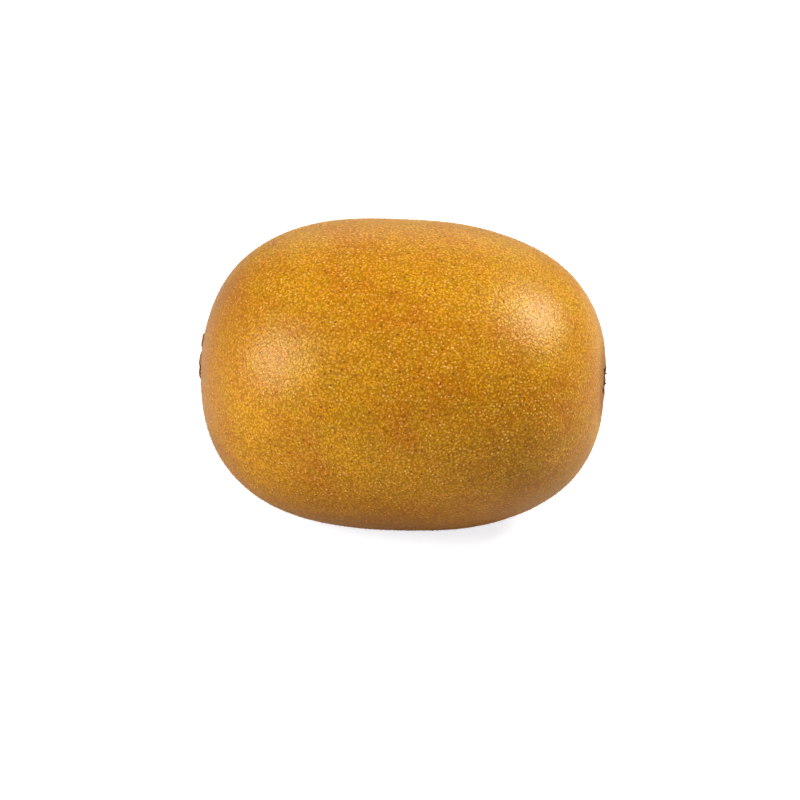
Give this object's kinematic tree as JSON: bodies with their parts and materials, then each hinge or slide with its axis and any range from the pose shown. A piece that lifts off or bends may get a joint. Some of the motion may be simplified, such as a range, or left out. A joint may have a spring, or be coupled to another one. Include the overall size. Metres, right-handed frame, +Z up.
{
  "type": "golden kiwi fruit",
  "caption": "Whole golden kiwi fruit lying on its side, with a corky stem scar, dried sepals and a dried style knot.",
  "frame": {"origin": "on the ground under the middle of the fruit's box, on the flat spot it rests on", "axes": "+X along the fruit from the stem end to the blossom end, +Z up"},
  "size_m": [0.0728, 0.0558, 0.0537],
  "materials": {
    "kiwi_skin": "thin golden brown skin with fine raised lenticels and short down",
    "stem_cork": "dry rough cork",
    "dried_sepals": "dry brown plant scale",
    "dried_styles": "dry dark brown fibre"
  },
  "bodies": {
    "root": {"fruit": "kiwi_skin", "stem_scar": "stem_cork", "sepal_1": "dried_sepals", "sepal_2": "dried_sepals", "sepal_3": "dried_sepals", "sepal_4": "dried_sepals", "sepal_5": "dried_sepals", "style_knot": "dried_styles"}
  },
  "joints": []
}
